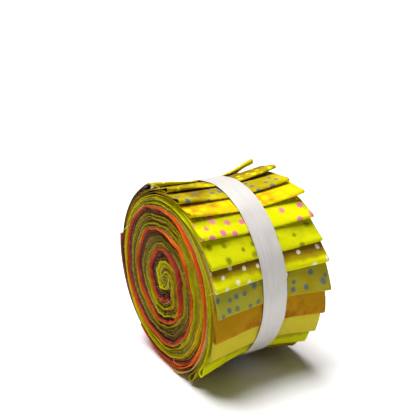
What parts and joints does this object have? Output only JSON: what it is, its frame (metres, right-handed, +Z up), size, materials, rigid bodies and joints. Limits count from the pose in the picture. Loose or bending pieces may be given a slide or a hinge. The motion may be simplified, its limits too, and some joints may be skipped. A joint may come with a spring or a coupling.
{
  "type": "fabric strip roll",
  "caption": "Roll of long cotton strips, folded, wound together and held by one ribbon, standing on its rim with the folded strip ends fanned round it.",
  "frame": {"origin": "on the surface that the roll stands on, under the middle of its box", "axes": "+Y along the winding's axis, from the face that shows towards the far face; +Z up; +X to the right of that face"},
  "size_m": [0.0978, 0.0644, 0.0967],
  "materials": {
    "wound_cotton": "matte woven cotton, layers of olive, lime, yellow and red seen on edge",
    "olive_yellow_cotton": "matte hand-dyed cotton with pale dots",
    "olive_cotton": "matte hand-dyed cotton with small dots",
    "lime_cotton": "matte hand-dyed cotton with small dots",
    "golden_cotton": "matte hand-dyed cotton with small dots",
    "bright_yellow_cotton": "matte hand-dyed cotton with pink dots",
    "amber_cotton": "matte hand-dyed cotton, marbled",
    "orange_red_cotton": "matte hand-dyed cotton",
    "crimson_cotton": "matte hand-dyed cotton",
    "white_satin": "satin ribbon, soft sheen"
  },
  "bodies": {
    "root": {"wound_roll": "wound_cotton", "strip_end_01": "olive_yellow_cotton", "strip_end_02": "olive_cotton", "strip_end_03": "lime_cotton", "strip_end_04": "golden_cotton", "strip_end_05": "bright_yellow_cotton", "strip_end_06": "lime_cotton", "strip_end_07": "olive_yellow_cotton", "strip_end_08": "olive_cotton", "strip_end_09": "amber_cotton", "strip_end_10": "olive_yellow_cotton", "strip_end_11": "lime_cotton", "strip_end_12": "olive_cotton", "strip_end_13": "olive_cotton", "strip_end_14": "orange_red_cotton", "strip_end_15": "orange_red_cotton", "strip_end_16": "crimson_cotton", "strip_end_17": "crimson_cotton", "ribbon": "white_satin"}
  },
  "joints": []
}
